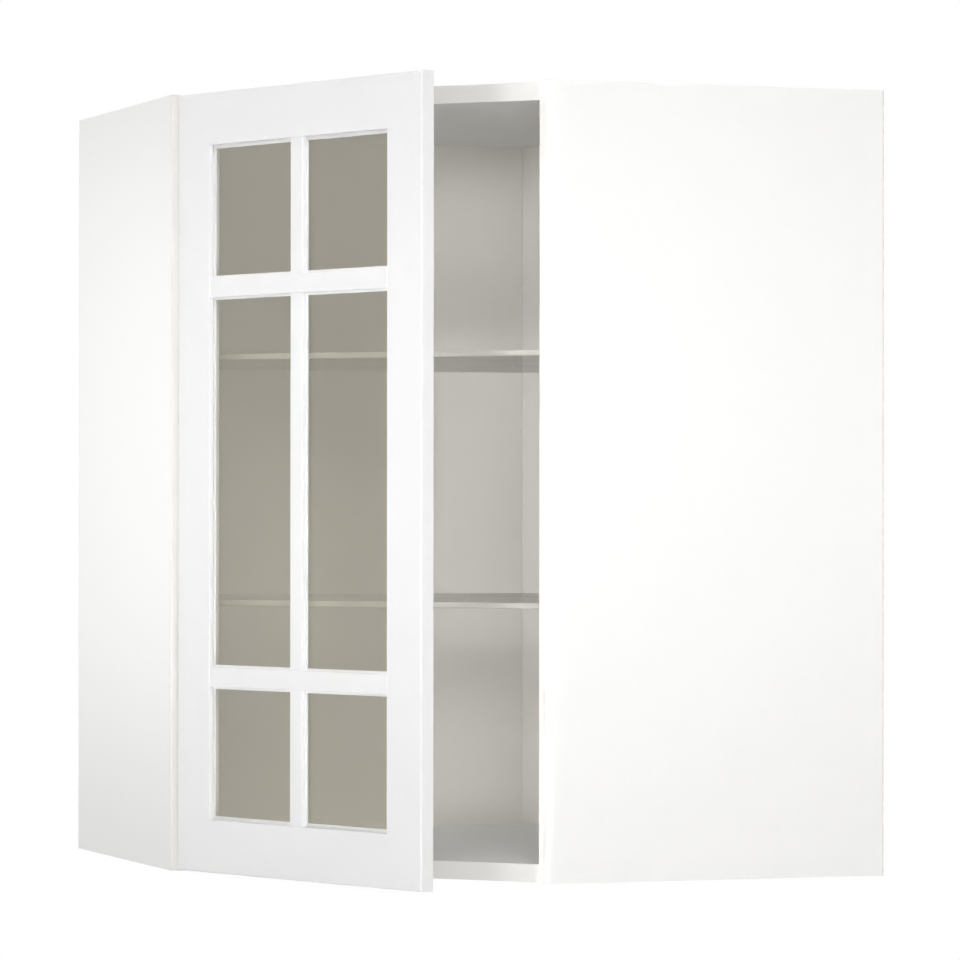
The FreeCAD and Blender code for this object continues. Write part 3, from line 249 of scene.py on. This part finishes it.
# Soft clear plastic: milky buttons that pass some light.
gel = {"body": "#ECECE6", "hazeMm": 3, "rough": (0.2, 0.4)}
bumperGel, gelTree, gelShader = newFinish("clearGelBumper", {"Base Color": linear(gel["body"]),
                                                             "Transmission Weight": 0.7, "IOR": 1.45})
gelPlace = addNode(gelTree, "ShaderNodeTexCoord").outputs["Object"]
haze = addNode(gelTree, "ShaderNodeTexNoise", {"Scale": 1 / (gel["hazeMm"] * mm)}, {"Vector": gelPlace})
hazeRough = addNode(gelTree, "ShaderNodeMapRange", {"To Min": gel["rough"][0], "To Max": gel["rough"][1]},
                    {"Value": haze.outputs[0]})
gelTree.links.new(hazeRough.outputs[0], gelShader.inputs["Roughness"])

finishes = {
    melamineBoard: ("side_panel_left", "side_panel_right", "top_panel", "bottom_panel"),
    lacqueredHardboard: ("back_panel_left", "back_panel_right", "back_corner_panel"),
    edgeBand: ("edge_band_left", "edge_band_right", "edge_band_top", "edge_band_bottom"),
    satinLacquer: ("door_stile_hinge", "door_stile_free", "door_rail_top", "door_rail_bottom",
                   "glazing_bar_upper", "glazing_bar_lower", "mullion_top", "mullion_middle",
                   "mullion_bottom"),
    beadPlastic: ("glazing_beads", "glass_retainers"),
    doorGlassTintAndShade: ("glass_pane",),
    shelfGlass: ("shelf_upper", "shelf_lower"),
    nickelPlate: ("shelf_pins_upper", "shelf_pins_lower", "hinge_arm_upper", "hinge_arm_lower",
                  "hinge_link_upper", "hinge_link_lower", "hinge_cup_upper", "hinge_cup_lower",
                  "hinge_arm_pins", "hinge_cup_pins"),
    castZinc: ("hinge_plate_upper", "hinge_plate_lower", "cam_locks"),
    zincPlate: ("cam_bolts", "bracket_screws", "hinge_plate_screws", "hinge_arm_screws", "cup_screws"),
    galvanised: ("hanging_bracket_left", "hanging_bracket_right"),
    beechDowel: ("carcass_dowels", "frame_dowels"),
    bumperGel: ("door_bumpers",),
}
for finish, names in finishes.items():
    for name in names:
        nodes[name].data.materials.clear()
        nodes[name].data.materials.append(finish)
print("finishes laid on", sum(len(names) for names in finishes.values()), "pieces")


# Every loose solid of a node, as its corner points.
def solidsOf(name):
    work = bmesh.new()
    work.from_mesh(nodes[name].data)
    bmesh.ops.remove_doubles(work, verts=work.verts, dist=weld)
    found = []
    met = set()
    for start in work.verts:
        if start in met:
            continue
        met.add(start)
        reach = [start]
        island = []
        while reach:
            vert = reach.pop()
            island.append(vert.co.copy())
            for edge in vert.link_edges:
                other = edge.other_vert(vert)
                if other not in met:
                    met.add(other)
                    reach.append(other)
        found.append(np.array(island))
    work.free()
    return found


# Middle and axis of a solid, and how far its corners lie along the axis, which points to the wider end.
def lieOf(points):
    widest = 0.97  # share of the greatest radius that still counts as the wide end
    middle = points.mean(0)
    axis = np.linalg.eigh(np.cov((points - middle).T))[1][:, -1]
    along = (points - middle) @ axis
    radius = np.linalg.norm((points - middle) - np.outer(along, axis), axis=1)
    if along[radius > radius.max() * widest].mean() < (along.max() + along.min()) / 2:
        axis, along = -axis, -along
    return middle, axis, along


def newTree(name, sizes):
    tree = bpy.data.node_groups.new(name, "GeometryNodeTree")
    tree.interface.new_socket("Geometry", in_out="INPUT", socket_type="NodeSocketGeometry")
    tree.interface.new_socket("Geometry", in_out="OUTPUT", socket_type="NodeSocketGeometry")
    for key, value in sizes.items():
        kind = "NodeSocketInt" if isinstance(value, int) else "NodeSocketFloat"
        tree.interface.new_socket(key, in_out="INPUT", socket_type=kind)
    tree.interface.new_socket("Finish", in_out="INPUT", socket_type="NodeSocketMaterial")
    return tree, addNode(tree, "NodeGroupInput").outputs


# Stands one made piece on every point, its own +Z along the point's axis, and ends the tree.
def placeOnPoints(tree, sockets, made):
    axis = addNode(tree, "GeometryNodeInputNamedAttribute", {"data_type": "FLOAT_VECTOR", "Name": "axis"})
    turned = addNode(tree, "FunctionNodeAlignRotationToVector", {"axis": "Z"}, {"Vector": axis.outputs[0]})
    stood = addNode(tree, "GeometryNodeInstanceOnPoints", {},
                    {"Points": sockets["Geometry"], "Instance": made, "Rotation": turned.outputs[0]})
    real = addNode(tree, "GeometryNodeRealizeInstances", {}, {0: stood.outputs[0]})
    dressed = addNode(tree, "GeometryNodeSetMaterial", {},
                      {"Geometry": real.outputs[0], "Material": sockets["Finish"]})
    addNode(tree, "NodeGroupOutput", {}, {0: dressed.outputs[0]})


# Makes the pieces of one node at their spots, as one plain mesh on its body.
def scatter(name, spots, tree, sizes, finish, body, node):
    base = bpy.data.meshes.new(name + "Spots")
    base.from_pydata([tuple(spot) for spot, axis in spots], [], [])
    directions = base.attributes.new("axis", "FLOAT_VECTOR", "POINT")
    directions.data.foreach_set("vector", np.array([axis for spot, axis in spots], np.float32).ravel())
    piece = bpy.data.objects.new(name, base)
    scene.collection.objects.link(piece)
    maker = piece.modifiers.new("maker", "NODES")
    maker.node_group = tree
    values = {**sizes, "Finish": finish}
    for item in tree.interface.items_tree:
        if item.in_out == "INPUT" and item.name in values:
            maker[item.identifier] = values[item.name]
    ready = piece.evaluated_get(bpy.context.evaluated_depsgraph_get())
    made = bpy.data.meshes.new_from_object(ready)
    piece.modifiers.remove(maker)
    piece.data = made
    made.name = name
    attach(piece, body)
    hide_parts(node)
    print(name, len(made.polygons), "faces")


# Cuts a cross recess into the top of a solid.
def crossCut(tree, sockets, solid, top=None):
    cut = addNode(tree, "GeometryNodeMeshBoolean", {"operation": "DIFFERENCE"}, {0: solid})
    deep = addNode(tree, "ShaderNodeMath", {"operation": "MULTIPLY", 1: 2.0}, {0: sockets["Recess depth"]})
    for first, second in (("Recess width", "Recess reach"), ("Recess reach", "Recess width")):
        size = addNode(tree, "ShaderNodeCombineXYZ", {},
                       {0: sockets[first], 1: sockets[second], 2: deep.outputs[0]})
        block = addNode(tree, "GeometryNodeMeshCube", {}, {"Size": size.outputs[0]})
        rise = addNode(tree, "ShaderNodeCombineXYZ", {}, {2: top} if top else {})
        raised = addNode(tree, "GeometryNodeTransform", {},
                         {"Geometry": block.outputs[0], "Translation": rise.outputs[0]})
        tree.links.new(raised.outputs[0], cut.inputs[1])
    return cut.outputs[0]


# Drops an upright solid of a given depth so that its top lies at zero.
def sinkTop(tree, solid, depth):
    sink = addNode(tree, "ShaderNodeMath", {"operation": "MULTIPLY", 1: -0.5}, {0: depth})
    down = addNode(tree, "ShaderNodeCombineXYZ", {}, {2: sink.outputs[0]})
    sunk = addNode(tree, "GeometryNodeTransform", {}, {"Geometry": solid, "Translation": down.outputs[0]})
    return sunk.outputs[0]


# Pan-head screw with a cross recess, standing on the underside of its head.
screwSizes = {"Head radius": 3.6 * mm, "Head rise": 2.2 * mm, "Shank radius": 1.85 * mm,
              "Shank length": 13 * mm, "Recess width": 0.9 * mm, "Recess reach": 4.4 * mm,
              "Recess depth": 1.3 * mm}
screwForm = {"sides": 28, "rings": 5, "topRings": 2, "shankSides": 20, "domePower": 3.0, "domeDraw": 0.34}
screwTree, screwIn = newTree("panHeadScrew", screwSizes)
blank = addNode(screwTree, "GeometryNodeMeshCylinder",
                {"Vertices": screwForm["sides"], "Side Segments": screwForm["rings"],
                 "Fill Segments": screwForm["topRings"]},
                {"Radius": screwIn["Head radius"], "Depth": screwIn["Head rise"]})
at = addNode(screwTree, "GeometryNodeInputPosition").outputs[0]
height = addNode(screwTree, "ShaderNodeSeparateXYZ", {}, {0: at}).outputs[2]
halfRise = addNode(screwTree, "ShaderNodeMath", {"operation": "MULTIPLY", 1: 0.5}, {0: screwIn["Head rise"]})
lift = addNode(screwTree, "ShaderNodeMath", {"operation": "ADD"},
               {0: height, 1: halfRise.outputs[0]}).outputs[0]
share = addNode(screwTree, "ShaderNodeMath", {"operation": "DIVIDE"}, {0: lift, 1: screwIn["Head rise"]})
curve = addNode(screwTree, "ShaderNodeMath", {"operation": "POWER", 1: screwForm["domePower"]},
                {0: share.outputs[0]})
draw = addNode(screwTree, "ShaderNodeMath", {"operation": "MULTIPLY_ADD", 1: -screwForm["domeDraw"], 2: 1.0},
               {0: curve.outputs[0]})
drawn = addNode(screwTree, "ShaderNodeVectorMath", {"operation": "SCALE"}, {0: at, 3: draw.outputs[0]})
flat = addNode(screwTree, "ShaderNodeSeparateXYZ", {}, {0: drawn.outputs[0]}).outputs
domed = addNode(screwTree, "ShaderNodeCombineXYZ", {}, {0: flat[0], 1: flat[1], 2: lift})
head = addNode(screwTree, "GeometryNodeSetPosition", {},
               {"Geometry": blank.outputs[0], "Position": domed.outputs[0]})
shank = addNode(screwTree, "GeometryNodeMeshCylinder", {"Vertices": screwForm["shankSides"]},
                {"Radius": screwIn["Shank radius"], "Depth": screwIn["Shank length"]})
wholeScrew = addNode(screwTree, "GeometryNodeJoinGeometry")
for made in (crossCut(screwTree, screwIn, head.outputs[0], screwIn["Head rise"]),
             sinkTop(screwTree, shank.outputs[0], screwIn["Shank length"])):
    screwTree.links.new(made, wholeScrew.inputs[0])
placeOnPoints(screwTree, screwIn, wholeScrew.outputs[0])

screwSets = {  # piece: node, body and shank length in mm
    "hingePlateScrews": ("hinge_plate_screws", "carcass", 13),
    "hingeArmScrews": ("hinge_arm_screws", "carcass", 12),
    "bracketScrews": ("bracket_screws", "carcass", 13),
    "cupScrews": ("cup_screws", "door", 9),
}
for title, (name, body, shankMm) in screwSets.items():
    spots = []
    for points in solidsOf(name):
        middle, axis, along = lieOf(points)
        spots.append((middle + axis * (along.max() - screwSizes["Head rise"]), axis))
    sizes = {**screwSizes, "Shank length": shankMm * mm}
    scatter(title, spots, screwTree, sizes, zincPlate, body, name)

# Cam locks: turned discs with a cross slot, flush with the outer faces of the top and bottom panels.
camSizes = {"Radius": 7.35 * mm, "Depth": 4.5 * mm, "Recess width": 1.6 * mm, "Recess reach": 9 * mm,
            "Recess depth": 2.2 * mm}
camForm = {"sides": 40}
camTree, camIn = newTree("camLock", camSizes)
disc = addNode(camTree, "GeometryNodeMeshCylinder", {"Vertices": camForm["sides"]},
               {"Radius": camIn["Radius"], "Depth": camIn["Depth"]})
sunkDisc = sinkTop(camTree, disc.outputs[0], camIn["Depth"])
placeOnPoints(camTree, camIn, crossCut(camTree, camIn, sunkDisc))
spots = []
for points in solidsOf("cam_locks"):
    low, high = points.min(0), points.max(0)
    upper = low[2] > cadBox[1][2] / 2
    spots.append(((*(low + high)[:2] / 2, high[2] if upper else low[2]), (0, 0, 1 if upper else -1)))
scatter("camLocks", spots, camTree, camSizes, castZinc, "carcass", "cam_locks")

# Fluted dowels with eased ends.
dowelSizes = {"Radius": 4 * mm, "Length": 30 * mm, "Flutes": 14, "Flute depth": 0.35 * mm, "Ease": 1.5 * mm}
dowelForm = {"rings": 21, "endShare": 0.72}
dowelTree, dowelIn = newTree("flutedDowel", dowelSizes)
upEnd = addNode(dowelTree, "ShaderNodeMath", {"operation": "MULTIPLY", 1: 0.5},
                {0: dowelIn["Length"]}).outputs[0]
downEnd = addNode(dowelTree, "ShaderNodeMath", {"operation": "MULTIPLY", 1: -1.0}, {0: upEnd}).outputs[0]
start = addNode(dowelTree, "ShaderNodeCombineXYZ", {}, {2: downEnd})
end = addNode(dowelTree, "ShaderNodeCombineXYZ", {}, {2: upEnd})
line = addNode(dowelTree, "GeometryNodeCurvePrimitiveLine", {},
               {"Start": start.outputs[0], "End": end.outputs[0]})
rod = addNode(dowelTree, "GeometryNodeResampleCurve", {"Count": dowelForm["rings"]},
              {"Curve": line.outputs[0]})
ringAt = addNode(dowelTree, "GeometryNodeInputPosition").outputs[0]
ringHeight = addNode(dowelTree, "ShaderNodeSeparateXYZ", {}, {0: ringAt}).outputs[2]
fromMiddle = addNode(dowelTree, "ShaderNodeMath", {"operation": "ABSOLUTE"}, {0: ringHeight})
fromEnd = addNode(dowelTree, "ShaderNodeMath", {"operation": "SUBTRACT"},
                  {0: upEnd, 1: fromMiddle.outputs[0]})
easeAt = addNode(dowelTree, "ShaderNodeMapRange",
                 {"From Min": 0.0, "To Min": dowelForm["endShare"], "To Max": 1.0},
                 {"Value": fromEnd.outputs[0], "From Max": dowelIn["Ease"]})
eased = addNode(dowelTree, "GeometryNodeSetCurveRadius", {},
                {"Curve": rod.outputs[0], "Radius": easeAt.outputs[0]})
fluteFloor = addNode(dowelTree, "ShaderNodeMath", {"operation": "SUBTRACT"},
                     {0: dowelIn["Radius"], 1: dowelIn["Flute depth"]})
ribs = addNode(dowelTree, "GeometryNodeCurveStar", {},
               {"Points": dowelIn["Flutes"], "Outer Radius": dowelIn["Radius"],
                "Inner Radius": fluteFloor.outputs[0]})
fluted = addNode(dowelTree, "GeometryNodeCurveToMesh", {"Fill Caps": True},
                 {"Curve": eased.outputs[0], "Profile Curve": ribs.outputs[0]})
placeOnPoints(dowelTree, dowelIn, fluted.outputs[0])

dowelSets = {  # piece: node, body, radius and length in mm
    "carcassDowels": ("carcass_dowels", "carcass", 4, 30),
    "frameDowels": ("frame_dowels", "door", 3, 40),
}
for title, (name, body, radiusMm, lengthMm) in dowelSets.items():
    spots = []
    for points in solidsOf(name):
        middle, axis, along = lieOf(points)
        spots.append((middle + axis * (along.max() + along.min()) / 2, axis))
    sizes = {**dowelSizes, "Radius": radiusMm * mm, "Length": lengthMm * mm}
    scatter(title, spots, dowelTree, sizes, beechDowel, body, name)

# Glass shelves with seamed arrises, the rim ground and the faces clear.
shelf = {"arrisMm": 0.9, "flatDeg": 0.5, "rimTurn": 0.9}
clearPieces = [nodes["glass_pane"]]
for tier in ("upper", "lower"):
    work = bmesh.new()
    work.from_mesh(nodes["shelf_" + tier].data)
    bmesh.ops.remove_doubles(work, verts=work.verts, dist=weld)
    bmesh.ops.dissolve_limit(work, angle_limit=math.radians(shelf["flatDeg"]),
                             verts=work.verts, edges=work.edges)
    bmesh.ops.bevel(work, geom=work.edges, offset=shelf["arrisMm"] * mm, segments=1, affect="EDGES")
    work.normal_update()
    for face in work.faces:
        face.material_index = 1 if abs(face.normal.z) < shelf["rimTurn"] else 0
    plate = bpy.data.meshes.new("shelfPlate." + tier)
    work.to_mesh(plate)
    work.free()
    plate.materials.append(shelfGlass)
    plate.materials.append(groundEdge)
    shelfPlate = bpy.data.objects.new("shelfPlate." + tier, plate)
    scene.collection.objects.link(shelfPlate)
    clearPieces.append(shelfPlate)
    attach(shelfPlate, "carcass")
    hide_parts("shelf_" + tier)
    print(shelfPlate.name, len(plate.polygons), "faces")
for piece in clearPieces:  # clear glass lets the lamps and the light off the boards through
    piece.visible_shadow = False
    piece.visible_diffuse = False

# The photograph's camera, from the cabinet's eight outer corners.
view = {"place": (-2.10506, -5.36733, 0.37015), "yaw": 0.3412, "pitch": 0.0063, "roll": 0.0009,
        "lens": 188.948, "sensor": 36, "farthest": 60}
cameraData = bpy.data.cameras.new("photoCamera")
cameraData.lens = view["lens"]
cameraData.sensor_width = view["sensor"]
cameraData.clip_end = view["farthest"]
camera = bpy.data.objects.new("photoCamera", cameraData)
camera.location = view["place"]
camera.rotation_euler = (math.pi / 2 + view["pitch"], -view["roll"], -view["yaw"])
scene.collection.objects.link(camera)
scene.camera = camera

# Studio: soft lamps, a strip lamp for the right panel's front edge, a white surround,
# and a pale floor well below the hung cabinet.
lamps = {  # metres, watts and degrees
    "leftLamp": {"place": (-4.3, -4.95, 0.47), "aim": (-0.4, -0.4, 0.46), "size": (1.4, 0.8),
                 "power": 1.52, "spread": 13},
    "highLamp": {"place": (-1.3, -3.2, 3.3), "aim": (-0.4, -0.5, 0.2), "size": (1.2, 1.2),
                 "power": 54, "spread": 180},
    "lowLamp": {"place": (-1.1, -2.7, -1.3), "aim": (-0.4, -0.5, 0.7), "size": (1.0, 1.0),
                "power": 24, "spread": 180},
    "backLamp": {"place": (-1.75, 1.85, 0.5), "aim": (-0.66, -0.2, 0.42), "size": (0.9, 0.9),
                 "power": 7.0, "spread": 180},
    "edgeLamp": {"place": (-1.286, -1.428, 0.4), "aim": (-0.367, -0.656, 0.4), "size": (0.012, 0.9),
                 "power": 0.045, "spread": 1.2},
}
for name, lamp in lamps.items():
    lampData = bpy.data.lights.new(name, "AREA")
    lampData.shape = "RECTANGLE"
    lampData.size, lampData.size_y = lamp["size"]
    lampData.energy = lamp["power"]
    lampData.spread = math.radians(lamp["spread"])
    light = bpy.data.objects.new(name, lampData)
    light.visible_camera = False
    light.visible_transmission = False
    light.location = lamp["place"]
    light.rotation_euler = (Vector(lamp["aim"]) - Vector(lamp["place"])).to_track_quat("-Z", "Y").to_euler()
    scene.collection.objects.link(light)

studio = {"surround": 0.42, "floorLevel": -1.4, "floorSide": 12.0, "floorTone": "#F2F2F0", "floorRough": 0.9}
world = bpy.data.worlds.new("whiteSurround")
scene.world = world
world.use_nodes = True
sky = world.node_tree
rays = addNode(sky, "ShaderNodeLightPath").outputs
mirrored = addNode(sky, "ShaderNodeMath", {"operation": "MAXIMUM"},
                   {0: rays["Is Camera Ray"], 1: rays["Is Glossy Ray"]})
seen = addNode(sky, "ShaderNodeMath", {"operation": "MAXIMUM"},
               {0: mirrored.outputs[0], 1: rays["Is Transmission Ray"]})
glow = addNode(sky, "ShaderNodeMapRange", {"To Min": studio["surround"], "To Max": 1.0},
               {"Value": seen.outputs[0]})
backdrop = sky.nodes["Background"]
backdrop.inputs["Color"].default_value = (1, 1, 1, 1)
sky.links.new(glow.outputs[0], backdrop.inputs["Strength"])

floorMesh = bpy.data.meshes.new("studioFloor")
reach = studio["floorSide"] / 2
corners = ((-reach, -reach), (reach, -reach), (reach, reach), (-reach, reach))
floorMesh.from_pydata([(x, y, studio["floorLevel"]) for x, y in corners], [], [(0, 1, 2, 3)])
floorFinish = newFinish("paleFloor", {"Base Color": linear(studio["floorTone"]),
                                      "Roughness": studio["floorRough"]})[0]
floorMesh.materials.append(floorFinish)
floor = bpy.data.objects.new("studioFloor", floorMesh)
scene.collection.objects.link(floor)
scene.view_settings.view_transform = "Standard"
print("camera, lamps and floor set")
